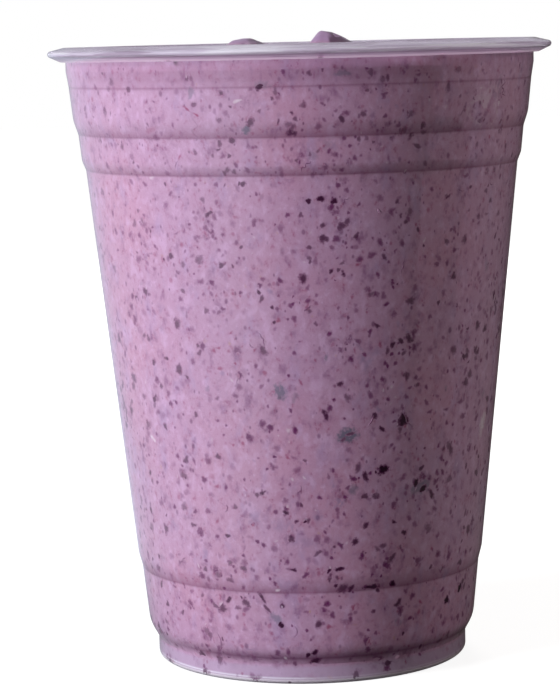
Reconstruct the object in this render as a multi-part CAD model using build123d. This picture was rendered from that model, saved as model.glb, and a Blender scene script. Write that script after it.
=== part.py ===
"""Berry smoothie poured to the brim of a clear thermoformed plastic cup, in millimetres.

The cup is one sheet of even wall, turned about Z: raised floor, foot ring, shoulder, tapered wall with three
stacking steps and a ridge, neck, and a rim curled outwards. Its section is a path of corners on the outer face
and the same path moved inwards by the wall. The smoothie fills the inner face up to an uneven poured top.
The origin is the centre of the foot ring's resting plane.
"""

import math
import os

from build123d import *

# Cup, overall
cup_height = 120.5
rim_diameter = 98.0
wall = 0.4
draft_deg = 6.0

# Rim: the sheet bends round three rollers of one radius. Heights are below the rim's top.
rim_overhang = 3.45  # from the neck's outer face to the rim's edge
curl_radius = 0.62
nose_drop = 1.25
lip_drop = 2.15
lip_gap = 0.25
lip_end = 0.35

# Neck and ridge under the rim, below the rim's top
neck_drop = 4.6
ridge_drop = 7.5
ridge_inset = 0.17

# Stacking steps: where each starts and ends, and how far it goes in beyond the draft.
upper_steps = (  # below the rim's top
    {"start": 14.1, "end": 16.9, "inset": 0.62, "round": 7.0},
    {"start": 21.95, "end": 23.8, "inset": 0.54, "round": 3.0},
)
lower_step = {"start": 20.8, "end": 18.1, "inset": 0.42, "round": 5.0}  # above the base

# Shoulder and foot, above the base
shoulder_height = 6.9
shoulder_round = 5.5
foot_height = 3.9
foot_inset = 1.66
foot_round = 0.5
ring_width = 2.2
floor_height = 2.6
floor_slope_run = 1.2
floor_round = 0.6
corner_round = 0.35

# Smoothie: level at the wall, its crown, the soft fold left by pouring, and two curls that stand above the rim
headroom = 3.0
crown = 1.1
fold_height = 0.45
fold_pitch = 15.0
fold_centre = (-3.0, 4.0)
curls = (
    {"at": (4.6, -3.0), "above_rim": 1.7, "left": 3.1, "right": 5.4, "depth": 5.0},
    {"at": (-10.4, 3.5), "above_rim": 1.05, "left": 4.6, "right": 5.4, "depth": 4.2},
)
top_grid = 61


def draft_run(rise):
    """How much wider the tapered wall gets over a rise."""
    return rise * math.tan(math.radians(draft_deg))


def step_corners(radius, top, bottom, inset):
    """Upper and lower corner of one step. radius is the wall's at the step's top."""
    return [(radius, top), (radius - draft_run(top - bottom) - inset, bottom)]


def wall_corners():
    """Outer corners of the tapered wall from the neck down to the shoulder, with each bend's inside radius."""
    neck = rim_diameter / 2 - rim_overhang
    ridge = neck - draft_run(ridge_drop - neck_drop) - ridge_inset
    corners = [(neck, cup_height - neck_drop), (ridge, cup_height - ridge_drop)]
    rounds = [corner_round, corner_round]
    steps = [(cup_height - s["start"], cup_height - s["end"], s) for s in upper_steps]
    steps.append((lower_step["start"], lower_step["end"], lower_step))
    for top, bottom, step in steps:
        radius, above = corners[-1]
        corners += step_corners(radius - draft_run(above - top), top, bottom, step["inset"])
        rounds += [step["round"], corner_round]
    radius, above = corners[-1]
    corners.append((radius - draft_run(above - shoulder_height), shoulder_height))
    rounds.append(shoulder_round)
    return corners, rounds


def foot_corners(shoulder_radius):
    """Outer corners from the axis, under the raised floor, round the foot ring and up to the shoulder."""
    foot = shoulder_radius - foot_inset
    ring = foot - ring_width
    corners = [
        (0.0, floor_height),
        (ring - floor_slope_run, floor_height),
        (ring, 0.0),
        (foot, 0.0),
        (foot, foot_height),
    ]
    return corners, [floor_round, corner_round, foot_round, corner_round]


def shift_left(corners, distance):
    """The same open path moved to its left by a distance, with each corner mitred."""
    headings = []
    for (r0, z0), (r1, z1) in zip(corners, corners[1:]):
        length = math.hypot(r1 - r0, z1 - z0)
        headings.append(((r1 - r0) / length, (z1 - z0) / length))
    before = [headings[0]] + headings
    after = headings + [headings[-1]]
    shifted = []
    for (r, z), (ar, az), (br, bz) in zip(corners, before, after):
        share = distance / (1 + ar * br + az * bz)
        shifted.append((r - share * (az + bz), z + share * (ar + br)))
    return shifted


def curl_corners():
    """Outer-face corners of the curled rim: a path over three roller centres, moved out by the bend's inside radius."""
    inner_radius = rim_diameter / 2 - rim_overhang - wall
    first = (inner_radius + curl_radius, cup_height - curl_radius)
    nose = (rim_diameter / 2 - curl_radius, cup_height - nose_drop)
    lip = (inner_radius + wall + lip_gap + curl_radius, cup_height - lip_drop)
    end = (lip[0], lip[1] + lip_end)
    start = (first[0], cup_height - neck_drop)
    corners = shift_left([start, first, nose, lip, end], curl_radius - wall)[1:]
    return corners, [curl_radius - wall] * 3


def turns_left(corners):
    """For each inner corner of a path, whether it bends to the left."""
    trios = zip(corners, corners[1:], corners[2:])
    return [(b[0] - a[0]) * (c[1] - b[1]) > (b[1] - a[1]) * (c[0] - b[0]) for a, b, c in trios]


def sheet_faces():
    """The outer and inner face of the sheet as corners and bend radii, from the axis to the curl's end."""
    down, down_rounds = wall_corners()
    foot, foot_rounds = foot_corners(down[-1][0])
    curl, curl_rounds = curl_corners()
    outer = foot + down[::-1] + curl
    bends = foot_rounds + down_rounds[::-1] + curl_rounds
    inner = shift_left(outer, wall)
    lefts = turns_left(outer)
    outer_bends = [bend + wall * left for bend, left in zip(bends, lefts)]
    inner_bends = [bend + wall * (not left) for bend, left in zip(bends, lefts)]
    return (outer, outer_bends), (inner, inner_bends)


def bent_path(corners, bends):
    """A path in the XZ plane through the corners, each rounded to its bend radius."""
    return FilletPolyline(*[(r, 0, z) for r, z in corners], radius=bends)


def cup():
    """The sheet's section between its two faces, turned about Z."""
    (outer, outer_bends), (inner, inner_bends) = sheet_faces()
    with BuildLine() as section:
        bent_path(outer, outer_bends)
        bent_path(inner, inner_bends)
        for a, b in ((outer[0], inner[0]), (outer[-1], inner[-1])):
            Line((a[0], 0, a[1]), (b[0], 0, b[1]))
    return revolve(make_face(section.edges()), Axis.Z)


def fold(x, y):
    """Height of the soft fold: a spiral wave that fades out towards the wall."""
    across, along = x - fold_centre[0], y - fold_centre[1]
    away = math.hypot(across, along)
    turn = math.atan2(along, across)
    fade = max(0.0, 1 - (math.hypot(x, y) / (rim_diameter / 2)) ** 2)
    return fold_height * fade * math.cos(2 * math.pi * away / fold_pitch - turn)


def level(x, y):
    """Height of the poured top without its curls: level at the wall, crowned in the middle, with the fold."""
    share = min(1.0, math.hypot(x, y) / (rim_diameter / 2 - rim_overhang))
    return cup_height - headroom + crown * (1 - share**2) ** 2 + fold(x, y)


def curl_share(curl, x, y):
    """1 on a curl's crest and falling to 0 as a bell, steeper on its left than on its right."""
    across, along = x - curl["at"][0], y - curl["at"][1]
    reach = curl["left"] if across < 0 else curl["right"]
    return math.exp(-((across / reach) ** 2) - (along / curl["depth"]) ** 2)


def top_height(x, y):
    """Height of the smoothie's top, each curl's crest exactly its stated height above the rim."""
    height = level(x, y)
    for curl in curls:
        crest = cup_height + curl["above_rim"] - level(*curl["at"])
        height += crest * curl_share(curl, x, y)
    return height


def smoothie():
    """What fills the cup's inner face, cut off by the poured top."""
    inner, bends = sheet_faces()[1]
    corners = inner[: -len(curl_corners()[0])]
    over = cup_height + 10
    corners.append((corners[-1][0], over))
    with BuildLine() as section:
        bent_path(corners, bends[: len(corners) - 2])
        Line((corners[-1][0], 0, over), (0, 0, over))
        Line((0, 0, over), (0, 0, corners[0][1]))
    body = revolve(make_face(section.edges()), Axis.Z)
    reach = rim_diameter / 2
    marks = [reach * (2 * i / (top_grid - 1) - 1) for i in range(top_grid)]
    surface = Face.make_surface_from_array_of_points([[(x, y, top_height(x, y)) for x in marks] for y in marks])
    return body - extrude(surface, amount=2 * over, dir=(0, 0, 1))


os.makedirs("parts", exist_ok=True)
for node, solid in {"cup": cup(), "smoothie": smoothie()}.items():
    export_step(solid, f"parts/{node}.step")
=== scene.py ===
"""Looks of the berry smoothie in its clear plastic cup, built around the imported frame. Metres, +Z up.

Sizes are written in millimetres, as on a maker's drawing, and become metres where a mesh is made.
Every surface is an array of points worked out from two parameters: round the cup's axis, and along a path.
"""

import math

import bpy
import numpy as np
from mathutils import Matrix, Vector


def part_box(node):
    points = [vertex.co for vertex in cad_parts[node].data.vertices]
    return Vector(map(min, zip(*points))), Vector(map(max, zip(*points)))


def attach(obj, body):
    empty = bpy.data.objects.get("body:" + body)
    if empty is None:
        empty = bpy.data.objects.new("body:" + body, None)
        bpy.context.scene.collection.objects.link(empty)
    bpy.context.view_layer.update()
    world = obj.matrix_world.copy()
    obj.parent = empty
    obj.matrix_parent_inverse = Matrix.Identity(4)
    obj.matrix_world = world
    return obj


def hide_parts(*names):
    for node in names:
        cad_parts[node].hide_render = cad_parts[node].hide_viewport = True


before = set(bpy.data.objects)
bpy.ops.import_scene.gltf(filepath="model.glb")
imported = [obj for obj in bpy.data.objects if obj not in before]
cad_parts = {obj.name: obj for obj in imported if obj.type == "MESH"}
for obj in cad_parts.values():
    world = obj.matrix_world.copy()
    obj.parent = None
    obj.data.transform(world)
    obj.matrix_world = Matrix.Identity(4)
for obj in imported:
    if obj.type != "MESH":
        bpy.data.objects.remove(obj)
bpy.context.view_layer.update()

MM = 0.001
TURN = 2 * math.pi

# ---- sizes of the cup, in millimetres

CUP_LOW, CUP_HIGH = (np.array(corner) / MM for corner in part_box("cup"))
CUP_HEIGHT = round(float(CUP_HIGH[2]), 1)
RIM_RADIUS = round(float(CUP_HIGH[0] - CUP_LOW[0]) / 2, 1)
WALL = 0.4
DRAFT = math.tan(math.radians(6.0))

RIM_OVERHANG = 3.45
CURL_RADIUS = 0.62
NOSE_DROP = 1.25
LIP_DROP = 2.15
LIP_GAP = 0.25
LIP_END = 0.35
NECK_DROP = 4.6
RIDGE_DROP = 7.5
RIDGE_INSET = 0.17
# Height of a step's top and bottom above the base, how far it goes in beyond the draft, its upper bend
STEPS = (
    (CUP_HEIGHT - 14.1, CUP_HEIGHT - 16.9, 0.62, 7.0),
    (CUP_HEIGHT - 21.95, CUP_HEIGHT - 23.8, 0.54, 3.0),
    (20.8, 18.1, 0.42, 5.0),
)
SHOULDER_HEIGHT = 6.9
SHOULDER_ROUND = 5.5
FOOT_HEIGHT = 3.9
FOOT_INSET = 1.66
FOOT_ROUND = 0.5
RING_WIDTH = 2.2
FLOOR_HEIGHT = 2.6
FLOOR_SLOPE_RUN = 1.2
FLOOR_ROUND = 0.6
CORNER_ROUND = 0.35
NECK_RADIUS = RIM_RADIUS - RIM_OVERHANG
RIM_STARTS = 0.03  # outside the neck by this, the sheet has the rim's plastic

# ---- sizes of the smoothie's top

LEVEL = CUP_HEIGHT - 3.0
CROWN = 1.1
FOLD_HEIGHT = 0.6
FOLD_PITCH = 15.0
FOLD_CENTRE = (-3.0, 4.0)
# Each curl: where its crest stands, its height above the rim, its reach left, right and in depth, and the
# power of its left side
CURLS = (
    (4.7, -3.0, 1.85, 2.8, 5.9, 5.0, 2.3),
    (-11.8, 3.5, 1.1, 4.0, 9.2, 4.2, 2.0),
)
# Ripples: seed, wavelength and size. The last ones make the film's edge wander.
RIPPLES = (3, 7.0, 0.16)
FINER_RIPPLES = (4, 2.2, 0.05)
WALL_RIPPLES = (5, 18.0, 0.12)
CALM_REACH = 6.0  # how far in the wall calms the ripples
FILM_CLIMB, FILM_REACH = 0.5, 0.5  # how far the film climbs the wall, and how far in it reaches
FLANK_FROM, FLANK_OVER = 0.06, 0.28  # where the painted shade on a curl's right flank starts, by its slope, and the span
# Strength of the painted shade on a curl's right flank
FLANK_SHADE = 0.9
SUNK_IN_WALL = WALL / 2  # how far the smoothie reaches into the plastic, so that no air shows

# ---- how fine the meshes are

LONGEST_RUN = 4.0
CUP_SEGMENTS = 288
SMOOTHIE_SEGMENTS = 320
EDGE_RINGS = (0, 0.2, 0.35, 0.55, 0.8, 1.15, 1.6, 2.2)  # closer rings at the top's edge, in from the wall
EVEN_RINGS = 150
EVEN_FROM, AXIS_GAP = 3, 0.1  # where the even rings start, in from the wall, and the hole they leave
SLOPE_STEP = 0.05  # half the distance over which a skin's direction is measured
SKIN_RUN = 0.5  # the longest run of the side's path where bits lie on it
CURL_END_ANGLES = 7


# ---- paths


def shift_left(corners, distance):
    """An open path's corners moved to its left: each corner goes along the sum of its two left normals,
    over one plus the cosine of the turn."""
    run = np.diff(corners, axis=0)
    run /= np.linalg.norm(run, axis=1, keepdims=True)
    before = np.vstack([run[:1], run])
    after = np.vstack([run, run[-1:]])
    both = before + after
    normal = np.stack([-both[:, 1], both[:, 0]], axis=1)
    return corners + distance * normal / (1 + (before * after).sum(axis=1, keepdims=True))


def rounded(corners, bends, arc_step=math.radians(9)):
    """A path whose inner corners are arcs. An arc starts a bend radius times the tangent of half the turn
    before its corner, and its points turn evenly about a centre one radius to the side."""
    points = [corners[:1]]
    for before, corner, after, bend in zip(corners, corners[1:], corners[2:], bends):
        come = (corner - before) / np.linalg.norm(corner - before)
        go = (after - corner) / np.linalg.norm(after - corner)
        turn = math.atan2(come[0] * go[1] - come[1] * go[0], come @ go)
        side = math.copysign(1.0, turn)
        normal = side * np.array([-come[1], come[0]])
        start = corner - come * bend * math.tan(abs(turn) / 2)
        angle = np.linspace(0, turn, max(3, math.ceil(abs(turn) / arc_step)) + 1)[:, None]
        arm = -normal * np.cos(angle) + side * come * np.sin(angle)
        points.append(start + normal * bend + bend * arm)
    points.append(corners[-1:])
    return np.vstack(points)


def spaced(path, longest):
    """The same path with its straight runs divided evenly, no two points further apart than longest."""
    run = np.linalg.norm(np.diff(path, axis=0), axis=1)
    along = np.concatenate([[0], np.cumsum(run)])
    parts = np.maximum(1, np.ceil(run / longest)).astype(int)
    within = np.arange(parts.sum()) - np.repeat(np.cumsum(parts) - parts, parts)
    share = within / np.repeat(parts, parts)
    marks = np.append(np.repeat(along[:-1], parts) + share * np.repeat(run, parts), along[-1])
    return np.stack([np.interp(marks, along, path[:, k]) for k in (0, 1)], axis=1)


def wall_corners():
    """Outer corners of the tapered wall from the shoulder up to the neck, with their bends."""
    ridge = NECK_RADIUS - DRAFT * (RIDGE_DROP - NECK_DROP) - RIDGE_INSET
    corners = [(NECK_RADIUS, CUP_HEIGHT - NECK_DROP), (ridge, CUP_HEIGHT - RIDGE_DROP)]
    bends = [CORNER_ROUND, CORNER_ROUND]
    for top, bottom, inset, bend in STEPS:
        radius = corners[-1][0] - DRAFT * (corners[-1][1] - top)
        corners += [(radius, top), (radius - DRAFT * (top - bottom) - inset, bottom)]
        bends += [bend, CORNER_ROUND]
    corners.append((corners[-1][0] - DRAFT * (corners[-1][1] - SHOULDER_HEIGHT), SHOULDER_HEIGHT))
    bends.append(SHOULDER_ROUND)
    return corners[::-1], bends[::-1]


def foot_corners(shoulder_radius):
    """Outer corners from the axis, under the raised floor, round the foot ring and up to the shoulder."""
    foot = shoulder_radius - FOOT_INSET
    ring = foot - RING_WIDTH
    slope = (ring - FLOOR_SLOPE_RUN, FLOOR_HEIGHT)
    corners = [(0, FLOOR_HEIGHT), slope, (ring, 0), (foot, 0), (foot, FOOT_HEIGHT)]
    return corners, [FLOOR_ROUND, CORNER_ROUND, FOOT_ROUND, CORNER_ROUND]


def curl_corners():
    """Outer corners of the curled rim: a path over three roller centres, moved left by the bend."""
    inner = NECK_RADIUS - WALL
    first = (inner + CURL_RADIUS, CUP_HEIGHT - CURL_RADIUS)
    nose = (RIM_RADIUS - CURL_RADIUS, CUP_HEIGHT - NOSE_DROP)
    lip = (NECK_RADIUS + LIP_GAP + CURL_RADIUS, CUP_HEIGHT - LIP_DROP)
    rollers = np.array([(first[0], CUP_HEIGHT - NECK_DROP), first, nose, lip, (lip[0], lip[1] + LIP_END)])
    return shift_left(rollers, CURL_RADIUS - WALL)[1:], [CURL_RADIUS - WALL] * 3


def sheet_path(depth, with_curl=True):
    """The sheet's face at a depth below its outer face, from the axis to the neck or the curl's end. A bend
    to the left is tighter on the left, so its radius there is smaller by the depth."""
    wall, wall_bends = wall_corners()
    foot, foot_bends = foot_corners(wall[0][0])
    curl, curl_bends = curl_corners()
    corners = np.vstack([foot, wall, curl])
    bends = np.array(foot_bends + wall_bends + curl_bends)
    run = np.diff(corners, axis=0)
    left = (run[:-1, 0] * run[1:, 1] - run[:-1, 1] * run[1:, 0]) > 0
    bends = bends + np.where(left, WALL - depth, depth)
    corners = shift_left(corners, depth)
    if with_curl:
        return rounded(corners, bends)
    count = len(foot) + len(wall)
    return rounded(corners[: count + 1], bends[: count - 1])[:-1]


# ---- meshes


def make_piece(name, points, faces, material, normals=None):
    """A smooth piece of points in millimetres and faces, on the one body, shaded by normals if given."""
    mesh = bpy.data.meshes.new(name)
    mesh.from_pydata(points * MM, [], faces if isinstance(faces, list) else faces.tolist())
    mesh.polygons.foreach_set("use_smooth", np.full(len(mesh.polygons), True))
    mesh.validate()
    mesh.update()
    if normals is not None:
        mesh.normals_split_custom_set_from_vertices(normals)
    piece = add_object(name, mesh)
    mesh.materials.append(material)
    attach(piece, "root")
    return piece


def add_object(name, data):
    added = bpy.data.objects.new(name, data)
    bpy.context.scene.collection.objects.link(added)
    return added


def set_value(piece, name, values):
    """One number for each vertex, as an attribute that the piece's material reads."""
    attribute = piece.data.attributes.new(name, "FLOAT", "POINT")
    attribute.data.foreach_set("value", np.ascontiguousarray(values, np.float32).ravel())


def grid_faces(rows, segments):
    """Quads between neighbouring rows of a grid whose rows close on themselves, outside to the right of the
    way that the rows follow each other."""
    here, column = np.meshgrid(segments * np.arange(rows - 1), np.arange(segments), indexing="ij")
    there, following = here + segments, (column + 1) % segments
    quads = [here + column, here + following, there + following, there + column]
    return np.stack(quads, axis=-1).reshape(-1, 4)


def lathe(radii, heights, segments):
    """Points and faces of rings about Z, radius and height given for each ring or for each of its points.
    A fan from a point on the axis closes the first ring, and another the last."""
    angle = np.linspace(0, TURN, segments, endpoint=False)
    size = (len(radii), segments)
    radii, heights = (np.broadcast_to(np.reshape(a, (len(a), -1)), size) for a in (radii, heights))
    points = np.stack([radii * np.sin(angle), -radii * np.cos(angle), heights], axis=-1).reshape(-1, 3)
    ends = np.array([[0, 0, heights[0].mean()], [0, 0, heights[-1].mean()]])
    column = np.arange(segments)
    following = (column + 1) % segments
    first, last = len(points), len(points) + 1
    top = (len(radii) - 1) * segments
    fans = [np.stack([0 * column + first, following, column], axis=1),
            np.stack([0 * column + last, top + column, top + following], axis=1)]
    faces = grid_faces(len(radii), segments).tolist() + np.vstack(fans).tolist()
    return np.vstack([points, ends]), faces


# ---- the cup


def cup_section():
    """The sheet's closed section: out along its outer face, round the curl's end as half a circle, and back
    along its inner face."""
    outer, inner = sheet_path(0.0), sheet_path(WALL)
    middle, arm = (outer[-1] + inner[-1]) / 2, (outer[-1] - inner[-1]) / 2
    angle = np.linspace(0, math.pi, CURL_END_ANGLES)[1:-1, None]
    end = middle + arm * np.cos(angle) + np.array([-arm[1], arm[0]]) * np.sin(angle)
    return spaced(np.vstack([outer, end, inner[::-1]]), LONGEST_RUN)


def make_cup(material, rim_material):
    """The sheet turned about Z. Its curl, outside the neck, has the rim's cloudier plastic."""
    section = cup_section()[1:-1]
    points, faces = lathe(section[:, 0], section[:, 1], CUP_SEGMENTS)
    points[-2:, 2] = FLOOR_HEIGHT, FLOOR_HEIGHT + WALL
    cup = make_piece("cup_wall", points, faces, material)
    cup.data.materials.append(rim_material)
    centres = np.empty(3 * len(cup.data.polygons))
    cup.data.polygons.foreach_get("center", centres)
    in_rim = np.hypot(centres[0::3], centres[1::3]) > (NECK_RADIUS + RIM_STARTS) * MM
    cup.data.polygons.foreach_set("material_index", in_rim.astype(np.int32))
    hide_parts("cup")


# ---- the smoothie's shape


def ripples(x, y, seed, wavelength, size, waves=24):
    """A smooth random field: the size times the sum of cosines over the root of their number, each with its
    own direction, phase and wavelength near the given one."""
    rng = np.random.default_rng(seed)
    heading = rng.uniform(0, TURN, waves)
    phase = rng.uniform(0, TURN, waves)
    pitch = TURN / (wavelength * rng.uniform(0.7, 1.5, waves))
    field = np.zeros(np.shape(x))
    for h, p, k in zip(heading, phase, pitch):
        field += np.cos(k * (x * math.cos(h) + y * math.sin(h)) + p)
    return size * (field / math.sqrt(waves))


def poured_level(x, y):
    """The top without its curls: level at the wall, crowned by the square of one minus the radius squared,
    with a spiral fold, a cosine of radius and angle that fades outwards."""
    across, along = x - FOLD_CENTRE[0], y - FOLD_CENTRE[1]
    away, turn = np.hypot(across, along), np.arctan2(along, across)
    out = np.hypot(x, y)
    fade = np.clip(1 - (out / RIM_RADIUS) ** 2, 0, 1)
    share = np.clip(out / NECK_RADIUS, 0, 1)
    fold = FOLD_HEIGHT * fade * np.cos(TURN * away / FOLD_PITCH - turn)
    return LEVEL + CROWN * (1 - share**2) ** 2 + fold


def curls(x, y):
    """Bells that stand on the poured top: each is its crest times an exponential that falls with a power of
    the distance across, faster on its left, and the square of the distance in depth."""
    height = np.zeros(np.shape(x))
    for cx, cy, above, left, right, depth, power in CURLS:
        across = np.where(x < cx, (np.abs(x - cx) / left) ** power, ((x - cx) / right) ** 2)
        crest = CUP_HEIGHT + above - poured_level(cx, cy)
        height += crest * np.exp(-across - ((y - cy) / depth) ** 2)
    return height


def top_height(x, y):
    """The poured top with its curls, ripples that fade at the wall, and a film that climbs the wall by an
    exponential of the distance from it."""
    from_wall = NECK_RADIUS - WALL - np.hypot(x, y)
    calm = np.clip(from_wall / CALM_REACH, 0, 1)
    fine = ripples(x, y, *RIPPLES) + ripples(x, y, *FINER_RIPPLES)
    climb = FILM_CLIMB * np.exp(-np.clip(from_wall, 0, None) / FILM_REACH)
    wander = ripples(x, y, *WALL_RIPPLES)
    return poured_level(x, y) + curls(x, y) + calm * fine + climb + (1 - calm) * wander


def make_smoothie(material):
    """One closed skin: from the middle of the floor along the sheet's mid-depth to the neck, up to the
    poured top's edge, and in over the top to its middle."""
    segments = SMOOTHIE_SEGMENTS
    side = spaced(sheet_path(SUNK_IN_WALL, with_curl=False), LONGEST_RUN)[1:]
    angle = np.linspace(0, TURN, segments, endpoint=False)
    edge = side[-1, 0]
    rings = edge - np.append(EDGE_RINGS, np.linspace(EVEN_FROM, edge - AXIS_GAP, EVEN_RINGS))
    x, y = rings[:, None] * np.sin(angle), -rings[:, None] * np.cos(angle)
    radii = np.repeat(np.append(side[:, 0], rings)[:, None], segments, axis=1)
    heights = np.vstack([np.repeat(side[:, 1:], segments, axis=1), top_height(x, y)])
    points, faces = lathe(radii, heights, segments)
    smoothie = make_piece("smoothie_body", points, faces, material)
    step = 0.2
    # A painted shade on each curl's right flank, by how steeply it falls to the right
    fall = (top_height(x - step, y) - top_height(x + step, y)) / (2 * step)
    flank = np.clip((fall - FLANK_FROM) / FLANK_OVER, 0, 1) * np.clip(2 * curls(x, y), 0, 1)
    pressed = np.zeros(len(side) * segments)
    set_value(smoothie, "open_air", np.concatenate([pressed, np.ones(x.size), [0, 1]]))
    set_value(smoothie, "shaded", np.concatenate([pressed, FLANK_SHADE * flank.ravel(), [0, 0]]))
    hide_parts("smoothie")


# ---- shader tools


class Wiring:
    """Adds nodes to a tree. A socket or a node's first output is linked, and any other value is set."""

    def __init__(self, tree):
        self.tree = tree

    def put(self, kind, values=(), **settings):
        node = self.tree.nodes.new("ShaderNode" + kind)
        for key, value in settings.items():
            setattr(node, key, value)
        for key, value in dict(values).items():
            self.feed(value, node.inputs[key])
        return node

    def feed(self, value, socket):
        value = value.outputs[0] if isinstance(value, bpy.types.Node) else value
        if isinstance(value, bpy.types.NodeSocket):
            self.tree.links.new(value, socket)
        else:
            socket.default_value = value

    def math(self, operation, a, b=0.0):
        return self.put("Math", {0: a, 1: b}, operation=operation).outputs[0]

    def times(self, a, b):
        return self.math("MULTIPLY", a, b)

    def vector(self, operation, *values, output=0):
        return self.put("VectorMath", dict(enumerate(values)), operation=operation).outputs[output]

    def ramp(self, value, low, high, to_low=0.0, to_high=1.0, smooth=True):
        kind = "SMOOTHSTEP" if smooth else "LINEAR"
        values = {"Value": value, "From Min": low, "From Max": high, "To Min": to_low, "To Max": to_high}
        return self.put("MapRange", values, interpolation_type=kind).outputs["Result"]

    def mix(self, factor, a, b, blend="MIX"):
        return self.put("Mix", {0: factor, 6: a, 7: b}, data_type="RGBA", blend_type=blend).outputs[2]

    def grey(self, value):
        return self.put("CombineColor", {0: value, 1: value, 2: value}).outputs[0]

    def part(self, vector, axis):
        return self.put("SeparateXYZ", {"Vector": vector}).outputs[axis]

    def noise(self, vector, scale, detail=2.0, roughness=0.5):
        values = {"Vector": vector, "Scale": scale, "Detail": detail, "Roughness": roughness}
        return self.put("TexNoise", values).outputs["Fac"]

    def stretched(self, vector, size):
        return self.put("Mapping", {"Vector": vector, "Scale": size}).outputs["Vector"]

    def value_of(self, name):
        return self.put("Attribute", attribute_name=name).outputs["Fac"]

    def group(self, tree, **values):
        node = self.put("Group", node_tree=tree)
        for key, value in values.items():
            self.feed(value, node.inputs[key])
        return node.outputs


def new_group(name, inputs, outputs):
    """A shader node group with sockets as dicts from name to type, its wiring, and what it is given and
    gives."""
    group = bpy.data.node_groups.new(name, "ShaderNodeTree")
    for way, sockets in (("INPUT", inputs), ("OUTPUT", outputs)):
        for label, kind in sockets.items():
            group.interface.new_socket(label, in_out=way, socket_type="NodeSocket" + kind)
    given, gives = group.nodes.new("NodeGroupInput").outputs, group.nodes.new("NodeGroupOutput").inputs
    return group, Wiring(group), given, gives


def emptied(owner):
    """A material's or world's tree without its nodes, ready to wire."""
    owner.use_nodes = True
    owner.node_tree.nodes.clear()
    return Wiring(owner.node_tree)


def new_material(name):
    """An empty material, the tools to wire it, and the place on the object."""
    material = bpy.data.materials.new(name)
    w = emptied(material)
    return material, w, w.put("TexCoord").outputs["Object"]


# ---- smoothie colours (linear)

MAUVE = (0.572, 0.352, 0.514, 1)
PINK = (0.59, 0.338, 0.486, 1)
LILAC = (0.505, 0.347, 0.545, 1)
PALE = (0.675, 0.448, 0.645, 1)
SKIN_DARK = (0.125, 0.008, 0.098, 1)
SKIN_BLACK = (0.03, 0.001, 0.022, 1)
SKIN_EDGE = (0.24, 0.05, 0.18, 1)
SKIN_RED = (0.33, 0.035, 0.13, 1)
PULP_GREY = (0.17, 0.165, 0.24, 1)
# Painted shade: a reddish dark laid on the fruit where the cup's shape shades it
PAINTED_SHADE = (0.23, 0.06, 0.15, 1)
STAIN_RED = (0.42, 0.13, 0.24, 1)
STAIN_BLUE = (0.26, 0.19, 0.36, 1)
SEED_TAN = (0.56, 0.33, 0.2, 1)
GLINT = (0.8, 0.7, 0.77, 1)
# Painted shade on the curls' right flanks
PAINTED_FLANK_SHADE = (0.11, 0.045, 0.095, 1)
CURL_LILAC = (0.48, 0.34, 0.58, 1)
FOOT_LILAC = (0.57, 0.43, 0.59, 1)
HALO = (0.225, 0.064, 0.198, 1)

# Noise in the blend: scale, detail, roughness, upright stretch, and for each tone that it brings in the
# noise where it starts, the noise where it is strongest, and how strong it gets
CLOUDS = (
    (42.0, 3.0, 0.5, 1.0, ((0.36, 0.66, 1.0, PINK),)),
    (260.0, 4.0, 0.65, 0.5, ((0.5, 0.74, 0.65, LILAC),)),
    (900.0, 4.0, 0.7, 0.8, ((0.53, 0.78, 0.65, SKIN_RED), (0.47, 0.24, 0.95, PALE))),
    (430.0, 3.0, 0.6, 0.7, ((0.54, 0.78, 0.55, HALO), (0.48, 0.28, 0.75, PALE))),
)
# Dots in the blend: upright stretch, cells in a metre, share of cells with a dot, radius in cells, tone
DOTS = (
    (0.7, 560.0, 0.37, 0.34, SKIN_DARK),
    (0.6, 980.0, 0.25, 0.34, SKIN_DARK),
    (0.8, 420.0, 0.12, 0.26, SKIN_RED),
)
DOTS_OFFSET = (0.37, 0.21, 0.53)
GRAIN_SCALE = 1500.0
DOTS_WEAKEST, DOTS_STRONGEST = 0.15, 0.6
OUTLINE = 0.1  # the fade at a bit's outline
RAGGED_BY = 1.1  # how much fine noise moves the fade
CORE_STARTS, EDGE_ENDS = 0.15, 0.75  # shares of the rise: a bit's tone starts, its edge tone is full

# Level bands in the blend, mostly painted shade and light. Heights and places across are in millimetres.
# Strength of the painted shade over each step's slanted face, darkest near its lower corner
STEP_SHADE = 0.55
RIDGE_HEIGHT = CUP_HEIGHT - RIDGE_DROP
NECK_SHADE = 0.26  # painted shade under the rim; it fades out to both sides, over the places across that follow
NECK_LEFT, NECK_RIGHT = (-46, -34), (10, 32)
# Painted shade in the undercut over the foot: its height, and its strength from the lit left to the middle
GROOVE_HEIGHT = 5.3
GROOVE_ACROSS, GROOVE_SHADE_WEIGHTS = (-38, -12), (0.1, 0.66)
GROOVE_SHADE = (0.15, 0.018, 0.105, 1)
EDGE_HEIGHT = 0.95  # below this the foot ring holds no fruit and looks grey; the grey is made paler as painted light, against the shade under the foot
# A painted highlight line along the foot's bottom edge
EDGE_HIGHLIGHT = (0.88, 0.82, 0.92, 1)
EDGE_GREY = (0.9, 0.82, 0.89, 1)
SHINE_LEFT, SHINE_RIGHT = -26.0, -4.0  # how far the foot's painted highlight line reaches, across from the axis


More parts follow.
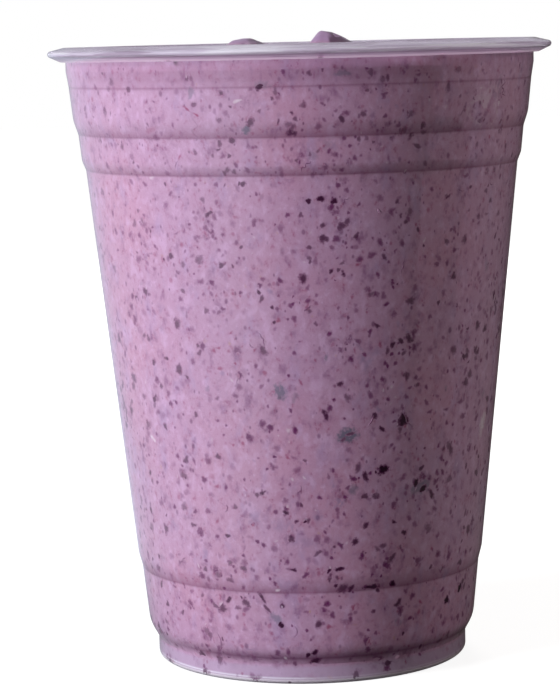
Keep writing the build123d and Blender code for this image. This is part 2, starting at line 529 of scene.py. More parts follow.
def dots_group():
    """Round dots of random size in a volume of cells: a cell whose random number is under Share holds one,
    and its mask falls from 1 in the dot to 0 at Radius at most, counted in cells."""
    inputs = dict(Vector="Vector", Cells="Float", Share="Float", Radius="Float")
    group, w, given, gives = new_group("fruit_dots", inputs, dict(Mask="Float", Random="Float"))
    cells = w.put("TexVoronoi", {"Vector": given["Vector"], "Scale": given["Cells"]})
    parts = w.put("SeparateColor", {"Color": cells.outputs["Color"]})
    there = w.math("LESS_THAN", parts.outputs[0], given["Share"])
    size = w.times(w.ramp(parts.outputs[1], 0, 1, 0.45, 1.0, smooth=False), given["Radius"])
    share = w.math("DIVIDE", cells.outputs["Distance"], size)
    mask = w.times(w.ramp(share, 0.35, 1.0, 1.0, 0.0), there)
    w.feed(mask, gives["Mask"])
    w.feed(parts.outputs[2], gives["Random"])
    return group


def level_band(w, height, colour, level, above, below, weight, tone, power=1.0):
    """A level line of a tone laid on the colour, fading out over its widths above and below."""
    over = w.ramp(height, level * MM, (level + above) * MM, 1.0, 0.0, smooth=False)
    under = w.ramp(height, (level - below) * MM, level * MM, smooth=False)
    mask = w.times(w.math("POWER", w.times(over, under), power), weight)
    return w.mix(mask, colour, tone)


def painted_shape_bands(w, place, colour):
    """The colour with the cup's shape in it: painted shade under the steps and on the ridge with a painted
    highlight line above it, lilac curls, a foot painted lighter lilac for the light through its ring,
    painted shade in the neck from its left to its middle and in the groove over the foot, and the foot
    ring's grey, made pale, with a painted highlight line."""
    height, across = w.part(place, "Z"), w.part(place, "X")

    def from_to(value, places, *weights):
        return w.ramp(value, places[0] * MM, places[1] * MM, *weights)

    def band(*values):
        return level_band(w, height, colour, *values)

    # Painted shade over each step's slanted face
    for top, bottom, _, _ in STEPS:
        colour = band(bottom + 0.25, top - bottom + 0.2, 0.55, STEP_SHADE, PAINTED_SHADE, 2.2)
    colour = w.mix(from_to(height, (CUP_HEIGHT - 0.5, CUP_HEIGHT + 0.6), 0.0, 0.75), colour, CURL_LILAC)
    # A painted highlight line just above the ridge, and a painted shade line on it
    colour = band(RIDGE_HEIGHT + 0.7, 0.9, 0.5, 0.3, PALE)
    colour = band(RIDGE_HEIGHT - 0.1, 0.3, 0.4, 0.4, PAINTED_SHADE)
    # The foot painted a lighter lilac, for the light that comes through its clear ring
    colour = w.mix(from_to(height, (FOOT_HEIGHT, FOOT_HEIGHT - 0.8), 0.0, 0.75), colour, FOOT_LILAC)
    # Painted shade in the undercut over the foot, weaker on the lit left
    deep = from_to(across, GROOVE_ACROSS, *GROOVE_SHADE_WEIGHTS)
    colour = band(GROOVE_HEIGHT, 1.7, 1.15, deep, GROOVE_SHADE, 1.6)
    # Painted shade under the rim, from the neck's left to its middle
    middle = w.times(from_to(across, NECK_LEFT), from_to(across, NECK_RIGHT, 1.0, 0.0))
    neck = from_to(height, (RIDGE_HEIGHT - 1.5, RIDGE_HEIGHT + 1.5), 0.0, NECK_SHADE)
    colour = w.mix(w.times(neck, middle), colour, PAINTED_SHADE)
    # A painted highlight line along the foot's bottom edge, strongest left of the middle
    left = from_to(across, (SHINE_LEFT - 6, SHINE_LEFT), 0.25, 0.95)
    right = from_to(across, (SHINE_RIGHT, SHINE_RIGHT + 8), 1.0, 0.42)
    colour = band(EDGE_HEIGHT + 0.25, 0.3, 0.28, w.times(left, right), EDGE_HIGHLIGHT)
    # The foot ring's grey edge, made pale as painted light against the shade under it
    return w.mix(from_to(height, (EDGE_HEIGHT - 0.1, EDGE_HEIGHT), 0.85, 0.0), colour, EDGE_GREY)


def blend_group(dots):
    """The blended fruit's colour at a point: mauve with clouds of other tones, dots of fruit skin, and the
    bands, mostly painted shade and light, that follow the cup's shape. Grain is its fine relief."""
    outputs = dict(Color="Color", Grain="Float")
    group, w, given, gives = new_group("blended_fruit", dict(Vector="Vector"), outputs)
    place = given["Vector"]
    colour = MAUVE
    for scale, detail, roughness, upright, tones in CLOUDS:
        noise = w.noise(w.stretched(place, (1, 1, upright)), scale, detail, roughness)
        for start, full, weight, tone in tones:
            colour = w.mix(w.ramp(noise, start, full, 0.0, weight), colour, tone)
    for upright, cells, share, radius, tone in DOTS:
        moved = w.vector("ADD", w.stretched(place, (1, 1, upright)), DOTS_OFFSET)
        dot = w.group(dots, Vector=moved, Cells=cells, Share=share, Radius=radius)
        strength = w.ramp(dot["Random"], 0, 1, DOTS_WEAKEST, DOTS_STRONGEST)
        colour = w.mix(w.times(dot["Mask"], strength), colour, tone)
    w.feed(painted_shape_bands(w, place, colour), gives["Color"])
    w.feed(w.noise(place, GRAIN_SCALE, 3.0, 0.6), gives["Grain"])
    return group


def ragged_masks(w, place, soft):
    """How much a bit has of its tone and of its edge tone: from 0 at its outline to its strength, the edge
    tone first, by its fade made uneven by fine noise. soft is how much fade the rise takes."""
    noise = w.noise(place, GRAIN_SCALE, 2.0, 0.6)
    bumps = w.times(w.math("SUBTRACT", noise, 0.5), RAGGED_BY)
    uneven = w.math("ADD", w.value_of("fade"), bumps)
    strength = w.value_of("strength")
    core = w.times(w.ramp(uneven, OUTLINE + CORE_STARTS * soft, OUTLINE + soft), strength)
    edge = w.times(w.ramp(uneven, OUTLINE, OUTLINE + EDGE_ENDS * soft), strength)
    return core, edge


def smoothie_material(name, blend, tone=None, soft=0.8, edge_tone=None):
    """Blended fruit, matt against the cup and wet in the open air. With a tone, it is a bit's: from the
    blend at its outline, through the edge tone if given, to the tone. Without, it is the body's, whose
    curls have a painted shade on their right flank."""
    material, w, place = new_material(name)
    fruit = w.group(blend, Vector=place)
    colour = fruit["Color"]
    if tone:
        core, edge = ragged_masks(w, place, soft)
        if edge_tone:
            colour = w.mix(edge, colour, edge_tone)
        colour = w.mix(core, colour, tone)
    else:
        colour = w.mix(w.value_of("shaded"), colour, PAINTED_FLANK_SHADE)
    bump = w.put("Bump", {"Strength": 0.35, "Distance": 0.00012, "Height": fruit["Grain"]})
    skin = w.put("BsdfPrincipled", {"Base Color": colour, "Roughness": 0.6, "Specular IOR Level": 0.0,
                                    "Coat Weight": w.value_of("open_air"), "Coat Roughness": 0.28,
                                    "Coat IOR": 1.38, "Normal": bump})
    w.put("OutputMaterial", {"Surface": skin})
    return material


# ---- clear plastic

RIM_LILAC = (0.74, 0.655, 0.775, 1)
RIM_WHITE = (0.93, 0.89, 0.96, 1)
RIM_MAUVE = (0.36, 0.25, 0.36, 1)
LIP_PINK = (0.96, 0.84, 0.93, 1)
# Painted glow that the rim's lip gives off, and weaker its underside, though it is no lamp
LIP_GLOW = (0.095, 0.064, 0.084, 1)
UNDER_GLOW = (0.055, 0.038, 0.052, 1)
BLACK = (0, 0, 0, 1)
LIP_HEIGHT = CUP_HEIGHT - LIP_DROP
# Heights above the lip's roller: the painted dark reflection line and its half widths, the lip's painted
# highlight line and its width, and the underside's painted glow from its start to its full strength
UNDER_AT, UNDER_HALF = 0.22, (0.06, 0.22)
LINE_AT, LINE_WIDTH = -0.16, 0.14
GLOW_FROM, GLOW_FULL = 0.45, 0.1


def rim_colour(w, place):
    """The curl's colour: lilac with level streaks, a painted dark reflection line where it turns under and a
    painted highlight line on its lip. And a painted glow that leaves its edge, on the lip and, weaker, on
    the underside."""
    height = w.part(place, "Z")
    streak = w.noise(w.stretched(place, (48, 48, 1300)), 1.0, 3.0, 0.6)
    colour = w.mix(w.ramp(streak, 0.52, 0.62, 0.0, 0.6), RIM_LILAC, RIM_MAUVE)
    colour = w.mix(w.ramp(streak, 0.48, 0.38, 0.0, 0.9), colour, RIM_WHITE)
    away = w.math("ABSOLUTE", w.math("SUBTRACT", height, (LIP_HEIGHT + UNDER_AT) * MM))
    # A painted dark reflection line where the curl turns under
    colour = w.mix(w.ramp(away, UNDER_HALF[0] * MM, UNDER_HALF[1] * MM, 0.7, 0.0), colour, RIM_MAUVE)
    # A painted highlight line on the lip, and a painted glow on it and, weaker, on the underside
    lip = (LIP_HEIGHT + LINE_AT) * MM
    line = w.ramp(height, lip, lip - LINE_WIDTH * MM)
    below = w.ramp(height, (LIP_HEIGHT + GLOW_FROM) * MM, (LIP_HEIGHT + GLOW_FULL) * MM)
    painted_glow = w.mix(line, w.mix(below, BLACK, UNDER_GLOW), LIP_GLOW)
    return w.mix(w.times(line, 0.85), colour, LIP_PINK), painted_glow


def plastic_material(name, colour, transmission, haze):
    """Clear glossy sheet with faint draw marks and ripples in its normal, which lamps reach through. Less
    transmission is milkier, more haze rougher. With no colour it is the rim's, and gives off some light as a
    painted glow."""
    material, w, place = new_material(name)
    drawn = w.noise(w.stretched(place, (1, 1, 0.25)), 160.0)
    height = w.math("ADD", drawn, w.times(w.noise(place, 700.0), 0.15))
    bump = w.put("Bump", {"Strength": 0.12, "Distance": 0.0002, "Height": height})
    roughness = w.ramp(w.noise(place, 90.0, 4.0), 0.35, 0.75, haze, haze + 0.04)
    light = {}
    if not colour:
        colour, painted_glow = rim_colour(w, place)
        light = {"Emission Color": painted_glow, "Emission Strength": 1.0}
    sheet = w.put("BsdfPrincipled", {"Base Color": colour, "Roughness": roughness, "IOR": 1.57,
                                     "Transmission Weight": transmission, "Normal": bump, **light})
    letting = w.put("BsdfTransparent", {"Color": (0.97, 0.97, 0.98, 1)})
    shadow = w.put("LightPath").outputs["Is Shadow Ray"]
    both = w.put("MixShader", {0: shadow, 1: sheet, 2: letting})
    w.put("OutputMaterial", {"Surface": both})
    return material


# ---- bits of fruit on the smoothie's skin

TOP_MARGIN, TOP_LIFT = 0.6, 0.04  # on the top, bits keep off the wall by this and lie higher by this
CLUSTER_SIZE = 9
SIDE_SPREAD, TOP_SPREAD = (0.05, 2.2), (2.2, 2.2)  # of a cluster: angle and rise, and both ways on the top
TILT_SPREAD = 0.7  # of bits from upright
WEAKER_POWER = 1.2  # over 1, more of the bits are weak
SMALLEST_HALF, LARGEST_HALF = 0.1, 0.85  # limits of half a bit's length: in mm, and over the middle length
LARGER_BELOW = (1.18, 0.84)  # how a bit's size goes from the foot to the neck
PALER_SIDE, PALER_BY = math.radians(-62), 0.42  # towards this side the bits are drawn weaker
SHADED_SIDE, SHADED_BY = math.radians(70), 0.42  # and towards this one, in the shade
PALER_ABOVE = 0.28  # near the neck, from this share of the side up and over this much more
PALER_FROM, PALER_OVER = 0.55, 0.35

# Kinds of bits: piece, material, tone, softness, edge tone, then as make_flecks takes them
FLECKS = (
    ("skin_halos", "soft_skin", HALO, 0.9, None,
     19, (1300, 180), (2.6, 0.4), (0.45, 0.95), (0.15, 0.6), 12, 0.008, 0.5),
    ("skin_flecks", "dark_skin", SKIN_DARK, 0.85, SKIN_EDGE,
     11, (3300, 460), (1.7, 0.38), (0.55, 1.0), (0.15, 0.9), 8, 0.02, 0.35),
    ("black_flecks", "black_skin", SKIN_BLACK, 0.7, SKIN_EDGE,
     14, (1000, 140), (1.85, 0.38), (0.5, 1.0), (0.5, 1.0), 12, 0.026, 0.35),
    ("red_flecks", "red_skin", SKIN_RED, 0.8, None,
     12, (560, 80), (1.55, 0.38), (0.35, 0.9), (0.3, 0.9), 8, 0.024, 0.35),
    ("juice_stains", "red_stain", STAIN_RED, 0.9, None,
     15, (150, 20), (4.6, 0.4), (0.4, 0.9), (0.12, 0.45), 20, 0.01, 0.0),
    ("pulp_smears", "blue_stain", STAIN_BLUE, 0.9, None,
     16, (170, 24), (3.8, 0.4), (0.35, 0.9), (0.15, 0.6), 20, 0.013, 0.2),
    ("pulp_pieces", "grey_pulp", PULP_GREY, 0.7, None,
     17, (46, 8), (2.6, 0.4), (0.45, 0.95), (0.25, 0.7), 20, 0.016, 0.0),
    ("berry_seeds", "tan_seed", SEED_TAN, 0.8, None,
     18, (110, 14), (1.3, 0.3), (0.5, 0.8), (0.2, 0.6), 10, 0.02, 0.2),
    ("pale_glints", "pale_glint", GLINT, 0.8, None,
     20, (260, 30), (1.2, 0.35), (0.3, 0.8), (0.25, 0.8), 8, 0.028, 0.2),
)

FIBRE_SIDES, FIBRE_STATIONS = 6, 14
FIBRE_BEND, FIBRE_WAVE, FIBRE_TILT = 0.35, 0.1, 0.8  # spreads, the first two over half its length
FIBRE_FLATNESS = 0.35

MARK_UNEVEN = 0.16
SOFT_EDGE = 1.35  # a mark's outline, where its colour starts, over its stated size

# Single marks: angle, height, length, width, tilt, strength
GREY_MARKS = (
    (-12.8, 105.3, 2.1, 1.9, 0, 0.75), (11.5, 48.4, 5.2, 3.4, 5, 0.85), (-7.5, 57, 3.4, 3, 80, 0.7),
    (35.7, 37.2, 5, 3.6, 20, 0.6), (-12, 13.4, 3.2, 1.7, -45, 0.5), (55, 111.5, 5.5, 4, 60, 0.25),
    (9.8, 115, 4, 1.2, 5, 0.45), (-26, 112, 2.8, 1.5, 70, 0.45), (-8.6, 113.2, 3.4, 2, 0, 0.35),
)
DARK_MARKS = (
    (28.6, 50.5, 2.9, 2.5, 80, 0.9), (1.6, 92.2, 1.2, 1.1, 0, 0.8), (4.6, 92.5, 1.4, 1.3, 0, 0.85),
    (7.8, 92.1, 1.5, 1.4, 0, 0.85), (22.6, 41.4, 2.8, 2, 20, 1), (36.8, 36.8, 2.4, 1.5, 30, 0.95),
    (34, 38.2, 1.8, 1.2, 70, 0.9), (-16.1, 17.3, 2.6, 0.8, -62, 0.7), (-14.6, 15.2, 2.6, 0.7, -50, 0.55),
    (-10.2, 12, 1.7, 1.1, 80, 0.9), (-9.2, 112.9, 2, 1.3, 20, 0.8), (12.2, 48.7, 2.2, 0.9, 15, 0.55),
    (10.2, 47.7, 1.6, 0.7, 35, 0.45), (20, 18.9, 4.2, 1.1, 3, 0.8), (27, 19, 1.6, 1.3, 0, 0.95),
    (52, 13.5, 1.8, 1.6, 50, 0.95), (60, 15, 2.6, 1.2, 65, 0.95),
)
# The first pale mark, long and on the right, is a painted reflection
PALE_MARKS = (
    (66, 47, 7, 3.2, 80, 0.75), (-53, 46.5, 2.6, 0.9, -35, 0.85), (-41, 96.5, 1.6, 0.8, 0, 0.6),
    (50, 108, 15, 9, 0, 0.34), (56, 108.5, 1.3, 0.6, 85, 0.9), (48, 111.5, 1.1, 0.5, 10, 0.7),
    (-14.6, 110.5, 2.4, 0.8, 15, 0.7), (-11, 18.9, 1.2, 0.8, 0, 0.85), (33, 84, 1.4, 0.5, 60, 0.55),
)
RED_MARKS = (
    (-27.4, 109.2, 2.2, 0.6, -40, 0.85), (-25.2, 108.2, 1.9, 0.5, -30, 0.8),
    (-38.5, 105.4, 3.2, 1.6, 20, 0.35), (-31, 100.5, 1.8, 0.7, 60, 0.6),
    (14, 80.2, 1.3, 1, 0, 0.7), (-20.5, 68, 1.2, 0.8, 30, 0.7),
)
# Kinds of marks, as above, then as make_marks takes them
MARKS = (
    ("grey_marks", "grey_mark", PULP_GREY, 0.6, None, 21, GREY_MARKS, 0.024),
    ("dark_marks", "dark_mark", SKIN_BLACK, 0.6, SKIN_EDGE, 22, DARK_MARKS, 0.032),
    ("red_marks", "red_mark", SKIN_RED, 0.8, None, 23, RED_MARKS, 0.028),
    ("pale_marks", "pale_mark", GLINT, 0.8, None, 24, PALE_MARKS, 0.03),
)


class SideSkin:
    """The smoothie's side as a surface of two lengths: round the cup, and up its path from foot to neck."""

    def __init__(self):
        path = spaced(sheet_path(SUNK_IN_WALL, with_curl=False), SKIN_RUN)
        path = path[path[:, 0] > NECK_RADIUS / 2]
        lowest = int(np.argmin(path[:, 1]))
        self.path = path[lowest + 2 :]  # from just above the foot ring, where the height only rises
        self.along = np.concatenate([[0], np.cumsum(np.linalg.norm(np.diff(self.path, axis=0), axis=1))])
        self.length = self.along[-1]

    def radius(self, up):
        return np.interp(up, self.along, self.path[:, 0])

    def height(self, up):
        return np.interp(up, self.along, self.path[:, 1])

    def up_at_height(self, height):
        return np.interp(height, self.path[:, 1], self.along)

    def scatter(self, count, rng):
        """Angle and length up the path of points spread evenly over the skin, more where it is wider."""
        fine = np.linspace(0, self.length, 400)
        area = np.cumsum(self.radius(fine))
        return rng.uniform(0, TURN, count), np.interp(rng.uniform(0, 1, count) * area[-1], area, fine)

    def points(self, angle, up, around, rise, lift):
        """Points at a distance around and up from a place on the skin, lifted off it along its normal, and
        that normal: the path's direction from just behind to just ahead, a quarter turn to its right."""
        at = np.clip(up + rise, 0, self.length)
        radius, height = self.radius(at), self.height(at)
        ahead, behind = np.clip(at + SLOPE_STEP, 0, self.length), np.clip(at - SLOPE_STEP, 0, self.length)
        dr = self.radius(ahead) - self.radius(behind)
        dz = self.height(ahead) - self.height(behind)
        size = np.hypot(dr, dz) + 1e-9
        turn = angle + around / np.maximum(radius, 1)
        out, rising = dz / size, -dr / size + 0 * turn
        normal = np.stack([out * np.sin(turn), -out * np.cos(turn), rising], axis=-1)
        flat = np.stack([radius * np.sin(turn), -radius * np.cos(turn), height + 0 * turn], axis=-1)
        return flat + np.asarray(lift)[..., None] * normal, normal


class TopSkin:
    """The smoothie's poured top as a surface over the floor plan."""

    def scatter(self, count, rng):
        """Places spread evenly over a disc: the radius goes with the square root of a random number."""
        out = (NECK_RADIUS - WALL - TOP_MARGIN) * np.sqrt(rng.uniform(0, 1, count))
        turn = rng.uniform(0, TURN, count)
        return out * np.sin(turn), -out * np.cos(turn)

    def points(self, x, y, around, rise, lift):
        """Points at a distance across and along from a place on the top, lifted off it, and its normal."""
        px, py, step = x + around, y + rise, SLOPE_STEP
        slope_x = (top_height(px + step, py) - top_height(px - step, py)) / (2 * step)
        slope_y = (top_height(px, py + step) - top_height(px, py - step)) / (2 * step)
        normal = np.stack([-slope_x, -slope_y, np.ones_like(slope_x)], axis=-1)
        normal /= np.linalg.norm(normal, axis=-1, keepdims=True)
        return np.stack([px, py, top_height(px, py) + lift], axis=-1), normal


def fleck_shape(rng, half_length, half_width, tilt, sides, uneven=0.22):
    """Offsets of flat lens-shaped bits, around and up: a middle, an inner ring, a rim, the rim again and a
    middle below. Each outline is an ellipse whose radius waves two and three times round it."""
    angle = np.linspace(0, TURN, sides, endpoint=False)
    one_each = (len(half_length), 1)
    bulges = [np.cos(times * angle + rng.uniform(0, TURN, one_each)) * rng.uniform(0, 1, one_each)
              for times in (2, 3)]
    size = 1 + uneven * sum(bulges)
    long, wide = half_length[:, None] * size * np.cos(angle), half_width[:, None] * size * np.sin(angle)
    cosine, sine = np.cos(tilt)[:, None], np.sin(tilt)[:, None]
    middle = np.zeros(one_each)
    outlines = (long * cosine - wide * sine, long * sine + wide * cosine)
    return [np.hstack([middle, 0.5 * rim, rim, rim, middle]) for rim in outlines]


def fleck_profile(sides):
    """For each point of a bit: its share of the lift, its fade from the middle's 1 to the rim's 0, and
    whether it faces out or in."""
    lift = np.concatenate([[1.0], np.full(sides, 0.9), np.full(2 * sides, -0.3), [-1.6]])
    fade = np.concatenate([[1.0], np.full(sides, 0.5), np.zeros(2 * sides + 1)])
    side = np.concatenate([np.ones(1 + 2 * sides), -np.ones(1 + sides)])
    return lift, fade, side


def fleck_faces(count, sides):
    """Faces of one bit, a fan, a band of triangles and a fan below, repeated for every bit."""
    k = np.arange(sides)
    n = (k + 1) % sides
    inner, rim, under, below = 1, 1 + sides, 1 + 2 * sides, 1 + 3 * sides
    fan = np.stack([0 * k, inner + k, inner + n], axis=1)
    outward = np.stack([inner + k, rim + k, rim + n], axis=1)
    inward = np.stack([inner + k, rim + n, inner + n], axis=1)
    back = np.stack([0 * k + below, under + n, under + k], axis=1)
    one = np.vstack([fan, outward, inward, back])
    return (one[None] + (below + 1) * np.arange(count)[:, None, None]).reshape(-1, 3)


def make_bits(name, material, skinned, sides, strength):
    """One piece of bits from their points, normals and openness to the air on each skin."""
    _, fade, side = fleck_profile(sides)
    points = np.vstack([points.reshape(-1, 3) for points, _, _ in skinned])
    normals = np.vstack([(normal * side[:, None]).reshape(-1, 3) for _, normal, _ in skinned])
    total = len(points) // len(fade)
    piece = make_piece(name, points, fleck_faces(total, sides), material, normals)
    set_value(piece, "fade", np.tile(fade, total))
    set_value(piece, "strength", np.repeat(strength, len(fade)))
    air = [np.full(points.size // 3, open_air) for points, _, open_air in skinned]
    set_value(piece, "open_air", np.concatenate(air))


def gather(rng, first, second, share, spread):
    """Moves a share of the places next to others, a normal draw away, into loose clusters."""
    count = len(first)
    moved = rng.uniform(0, 1, count) < share
    leader = rng.integers(0, max(1, count // CLUSTER_SIZE), count)
    first = np.where(moved, first[leader] + rng.normal(0, spread[0], count), first)
    second = np.where(moved, second[leader] + rng.normal(0, spread[1], count), second)
    return first, second


def make_flecks(name, material, seed, counts, size, ratio, strength, sides, lift, grouped):
    """Bits of one kind, mostly upright. counts is for the side and the top, size the middle and spread of
    their log-normal lengths, ratio the range of width over length, strength the range of how far each is
    from the blend's colour, and grouped the share in clusters."""
    rng = np.random.default_rng(seed)
    angle, along = gather(rng, *SIDE.scatter(counts[0], rng), grouped, SIDE_SPREAD)
    x, y = gather(rng, *TOP.scatter(counts[1], rng), grouped, TOP_SPREAD)
    total, cut = sum(counts), counts[0]
    half = 0.5 * size[0] * np.exp(size[1] * rng.normal(0, 1, total))
    half = np.clip(half, SMALLEST_HALF, LARGEST_HALF * size[0])
    half[:cut] *= LARGER_BELOW[0] + (LARGER_BELOW[1] - LARGER_BELOW[0]) * along / SIDE.length
    width = half * rng.uniform(*ratio, total)
    around, rise = fleck_shape(rng, half, width, rng.normal(math.pi / 2, TILT_SPREAD, total), sides)
    up = fleck_profile(sides)[0]
    draw = strength[0] + (strength[1] - strength[0]) * rng.uniform(0, 1, total) ** WEAKER_POWER
    towards = np.clip(np.cos(angle - PALER_SIDE), 0, 1) ** 2
    shaded = np.clip(np.cos(angle - SHADED_SIDE), 0, 1) ** 2
    high = np.clip((along / SIDE.length - PALER_FROM) / PALER_OVER, 0, 1)
    draw[:cut] *= (1 - PALER_BY * towards) * (1 - SHADED_BY * shaded) * (1 - PALER_ABOVE * high)
    side = SIDE.points(angle[:, None], along[:, None], around[:cut], rise[:cut], lift * up)
    top = TOP.points(x[:, None], y[:, None], around[cut:], rise[cut:], (lift + TOP_LIFT) * up)
    make_bits(name, material, [(*side, 0.0), (*top, 1.0)], sides, draw)


def make_marks(name, material, seed, marks, lift, sides=24):
    """Single large bits where they lie on the side, and one painted reflection among the pale ones. A mark
    is its angle from the front towards the right, height, length, width, tilt from level and strength, in
    degrees and millimetres."""
    rng = np.random.default_rng(seed)
    angle, height, length, width, tilt, strength = np.array(marks).T
    half, half_width = SOFT_EDGE * length / 2, SOFT_EDGE * width / 2
    around, rise = fleck_shape(rng, half, half_width, np.radians(tilt), sides, MARK_UNEVEN)
    up = SIDE.up_at_height(height)[:, None]
    points = SIDE.points(np.radians(angle)[:, None], up, around, rise, lift * fleck_profile(sides)[0])
    make_bits(name, material, [(*points, 0.0)], sides, strength)


def make_fibres(name, material, seed, count, length, thickness):
    """Thin strands pressed against the wall: each centre line is a parabola with a sine wave, its section a
    flattened circle whose radius tapers to both ends as the root of a parabola."""
    rng = np.random.default_rng(seed)
    sides, stations = FIBRE_SIDES, FIBRE_STATIONS
    angle, up = SIDE.scatter(count, rng)
    share = np.linspace(-1, 1, stations)
    half = 0.5 * length[0] * np.exp(length[1] * rng.normal(0, 1, (count, 1)))
    bend = rng.normal(0, FIBRE_BEND, (count, 1)) * half
    wave = rng.normal(0, FIBRE_WAVE, (count, 1)) * half
    along = half * share
    off = bend * (share**2 - 0.3) + wave * np.sin(3 * math.pi * share + rng.uniform(0, TURN, (count, 1)))
    tilt = rng.normal(math.pi / 2, FIBRE_TILT, (count, 1))
    around, rise = along * np.cos(tilt) - off * np.sin(tilt), along * np.sin(tilt) + off * np.cos(tilt)
    radius = thickness * rng.uniform(0.6, 1.4, (count, 1)) * np.sqrt(np.clip(1 - share**2, 0, 1) + 0.003)
    section = np.linspace(0, TURN, sides, endpoint=False)
    heading = np.arctan2(np.gradient(rise, axis=1), np.gradient(around, axis=1))
    around, rise, heading, radius = (a[..., None] for a in (around, rise, heading, radius))
    flat = radius * np.cos(section)
    around, rise = around - flat * np.sin(heading), rise + flat * np.cos(heading)
    lift = FIBRE_FLATNESS * radius * np.sin(section)
    points = SIDE.points(angle[:, None, None], up[:, None, None], around, rise, lift)[0].reshape(-1, 3)
    each = stations * sides
    shift = each * np.arange(count)[:, None, None]
    faces = (grid_faces(stations, sides) + shift).reshape(-1, 4).tolist()
    caps = np.stack([np.arange(sides)[::-1], (stations - 1) * sides + np.arange(sides)])
    faces += (caps + shift).reshape(-1, sides).tolist()
    piece = make_piece(name, points, faces, material)
    upper = np.clip(np.sin(section), 0, 1) ** 0.5
    taper = np.clip(1.4 * (1 - share**2), 0, 1)[:, None]
    set_value(piece, "fade", np.tile((taper * upper).ravel(), count))
    set_value(piece, "strength", np.repeat(rng.uniform(0.25, 0.75, count), each))


# ---- stage, lamps and camera

# The studio's glow: a part's angle aside, the half angles at which it starts and is full, its colour
GLOWS = (
    (125, 62, 20, (0.72, 0.76, 0.92, 1)),
    (-95, 55, 15, (0.13, 0.122, 0.108, 1)),
    (72, 70, 30, (0.81, 0.88, 0.96, 1)),
)
GLOW_DARK = (0.05, 0.046, 0.044, 1)
CEILING = (0.52, 0.5, 0.58, 1)
EDGE_ASIDE, EDGE_SPAN = 75, (-0.95, 0.85)
EDGE_LEFT = (0.86, 0.8, 0.92, 1)
EDGE_RIGHT = (0.36, 0.34, 0.4, 1)
AMBIENT = (0.064, 0.055, 0.049, 1)

FLOOR_HALF = 3000.0
FLOOR_MATT = (0.38, 0.38, 0.38, 1)
# From one distance from the axis to another, in metres: how white the floor looks, how much glow it mirrors
FLOOR_WHITE = (0.05, 0.3, 0.85, 1.0)
FLOOR_MIRROR = (0.034, 0.12, 0.35, 1.0)

# Lamps: angle aside and up in degrees, distance, width and height in metres, power in watts, colour
LAMPS = (
    ("key_softbox", 58.2, 22, 0.9, 0.35, 0.45, 7.6, (0.99, 1.04, 1.065)),
    ("right_fill", -72, 34, 0.25, 0.16, 0.16, 0.16, (1.0, 0.97, 0.9)),
    ("back_fill", 180, 26, 0.9, 0.3, 0.5, 2.7, (1.0, 0.99, 0.98)),
)

CAMERA_DISTANCE = 0.5
CAMERA_HEIGHT = 0.1221
CAMERA_DOWN = math.radians(7.07)
CAMERA_ASIDE = math.radians(0.586)
CAMERA_ROLL = math.radians(-1.36)
CAMERA_LENS = 130.8


def make_camera():
    """Stands in front of the cup, looks a little down and a little to its left, and leans a little."""
    data = bpy.data.cameras.new("camera")
    data.lens = CAMERA_LENS
    data.sensor_width = 36.0
    camera = add_object("camera", data)
    camera.location = (0, -CAMERA_DISTANCE, CAMERA_HEIGHT)
    aside = Matrix.Rotation(CAMERA_ASIDE, 4, "Z")
    down = Matrix.Rotation(math.pi / 2 - CAMERA_DOWN, 4, "X")
    roll = Matrix.Rotation(CAMERA_ROLL, 4, "Z")
    camera.rotation_euler = (aside @ down @ roll).to_euler()
    bpy.context.scene.camera = camera


def make_lamp(name, aside, up, distance, width, height, power, colour):
    """A soft rectangular lamp that faces the cup's middle. aside is its angle from the front towards the
    cup's left side. Gloss and what is seen through the plastic don't show it."""
    data = bpy.data.lights.new(name, "AREA")
    data.shape = "RECTANGLE"
    data.size, data.size_y = width, height
    data.energy = power
    data.color = colour
    lamp = add_object(name, data)
    aside, up = math.radians(aside), math.radians(up)
    middle = CUP_HEIGHT * MM / 2
    level = distance * math.cos(up)
    lamp.location = (-level * math.sin(aside), -level * math.cos(aside), middle + distance * math.sin(up))
    lamp.rotation_euler = (math.pi / 2 - up, 0, -aside)
    lamp.visible_transmission = False
    lamp.visible_glossy = False


def glow_group():
    """How bright the studio is in a level direction. Color is what gloss mirrors: a broad window on the
    left, dimmer behind it, a faint glow on the right, nearly dark elsewhere. Edge is what the plastic turns
    round inside itself: bright on the left, falling evenly to the right."""
    outputs = dict(Color="Color", Edge="Color")
    group, w, given, gives = new_group("studio_glow", dict(Vector="Vector"), outputs)
    flat = w.vector("NORMALIZE", w.vector("MULTIPLY", given["Vector"], (1, 1, 0)))

    def towards(aside):
        heading = (-math.sin(math.radians(aside)), -math.cos(math.radians(aside)), 0)
        return w.vector("DOT_PRODUCT", flat, heading, output="Value")

    colour = GLOW_DARK
    for aside, start, full, tone in GLOWS:
        share = w.ramp(towards(aside), math.cos(math.radians(start)), math.cos(math.radians(full)))
        colour = w.mix(share, colour, tone)
    edge = w.mix(w.ramp(towards(EDGE_ASIDE), *EDGE_SPAN, smooth=False), EDGE_RIGHT, EDGE_LEFT)
    w.feed(colour, gives["Color"])
    w.feed(edge, gives["Edge"])
    return group


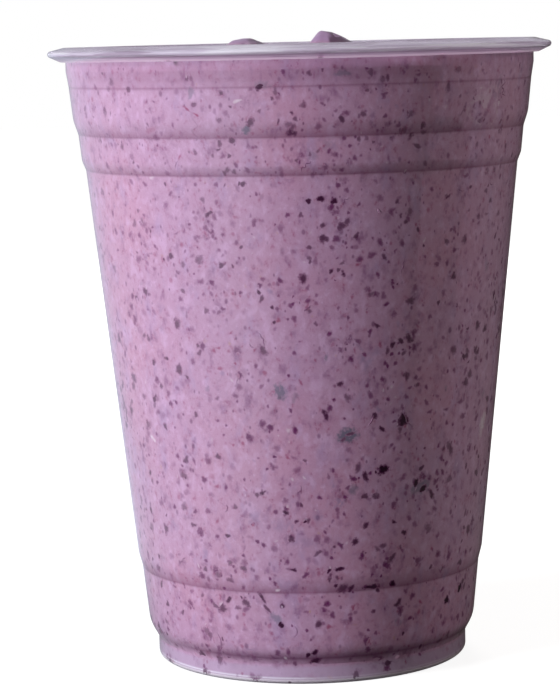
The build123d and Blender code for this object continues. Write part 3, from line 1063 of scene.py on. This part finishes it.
def seen_colour(w, base, mirrored, edge, white):
    """White for the camera, also through the plastic, mirrored for what an outer face mirrors, edge for what
    is turned round inside the plastic, and base for the rest. And the mask of what is mirrored."""
    path = w.put("LightPath").outputs
    direct = w.math("LESS_THAN", path["Diffuse Depth"], 0.5)
    unmirrored = w.math("LESS_THAN", path["Glossy Depth"], 0.5)
    outside = w.math("LESS_THAN", path["Transmission Depth"], 0.5)
    straight = w.math("MAXIMUM", path["Is Camera Ray"], path["Is Transmission Ray"])
    turned = w.times(w.math("SUBTRACT", 1.0, unmirrored), direct)
    gloss = w.times(turned, outside)
    colour = w.mix(gloss, base, mirrored)
    colour = w.mix(w.times(turned, w.math("SUBTRACT", 1.0, outside)), colour, edge)
    return w.mix(w.times(w.times(straight, unmirrored), direct), colour, white), gloss


def floor_material(glow):
    """Matt grey floor that keeps the shadow. A glow makes it white to the camera, less so near the cup.
    Gloss mirrors the studio's glow there, dimmer near the cup, and nothing of the grey."""
    material, w, place = new_material("pale_floor")
    away = w.vector("LENGTH", place, output="Value")
    studio = w.group(glow, Vector=place)
    mirrored = w.mix(1.0, studio["Color"], w.grey(w.ramp(away, *FLOOR_MIRROR)), "MULTIPLY")
    white = w.grey(w.ramp(away, *FLOOR_WHITE))
    colour, gloss = seen_colour(w, BLACK, mirrored, studio["Edge"], white)
    matt = w.put("BsdfDiffuse", {"Color": w.mix(gloss, FLOOR_MATT, BLACK)})
    light = w.put("Emission", {"Color": colour, "Strength": 1.0})
    both = w.put("AddShader", {0: matt, 1: light})
    w.put("OutputMaterial", {"Surface": both})
    return material


def make_floor(glow):
    corners = FLOOR_HALF * np.array([(-1, -1, 0), (1, -1, 0), (1, 1, 0), (-1, 1, 0)])
    mesh = bpy.data.meshes.new("floor")
    mesh.from_pydata(corners * MM, [], [(0, 1, 2, 3)])
    mesh.materials.append(floor_material(glow))
    floor = add_object("floor", mesh)


def make_world(glow):
    """White to the camera, also through the plastic. Gloss mirrors the studio's glow, and a ceiling over
    it. A dim warm grey lights the rest."""
    world = bpy.data.worlds.new("studio")
    bpy.context.scene.world = world
    w = emptied(world)
    towards = w.put("TexCoord").outputs["Generated"]
    studio = w.group(glow, Vector=towards)
    mirrored = w.mix(w.ramp(w.part(towards, "Z"), 0.0, 0.2), studio["Color"], CEILING)
    colour, _ = seen_colour(w, AMBIENT, mirrored, studio["Edge"], (1, 1, 1, 1))
    back = w.put("Background", {"Color": colour, "Strength": 1.0})
    w.put("OutputWorld", {"Surface": back})


# ---- making everything

make_camera()
glow = glow_group()
make_world(glow)
make_floor(glow)
for lamp in LAMPS:
    make_lamp(*lamp)

view = bpy.context.scene.view_settings
view.view_transform = "Standard"

SIDE, TOP = SideSkin(), TopSkin()
blend = blend_group(dots_group())

make_cup(plastic_material("clear_plastic", (0.95, 0.95, 0.96, 1), 1.0, 0.03),
         plastic_material("rim_plastic", None, 0.5, 0.1))
make_smoothie(smoothie_material("smoothie", blend))
for name, look, tone, soft, edge_tone, *rest in FLECKS:
    make_flecks(name, smoothie_material(look, blend, tone, soft, edge_tone), *rest)
make_fibres("fibres", smoothie_material("strand", blend, SKIN_DARK), 13, 70, (2.2, 0.45), 0.13)
for name, look, tone, soft, edge_tone, *rest in MARKS:
    make_marks(name, smoothie_material(look, blend, tone, soft, edge_tone), *rest)
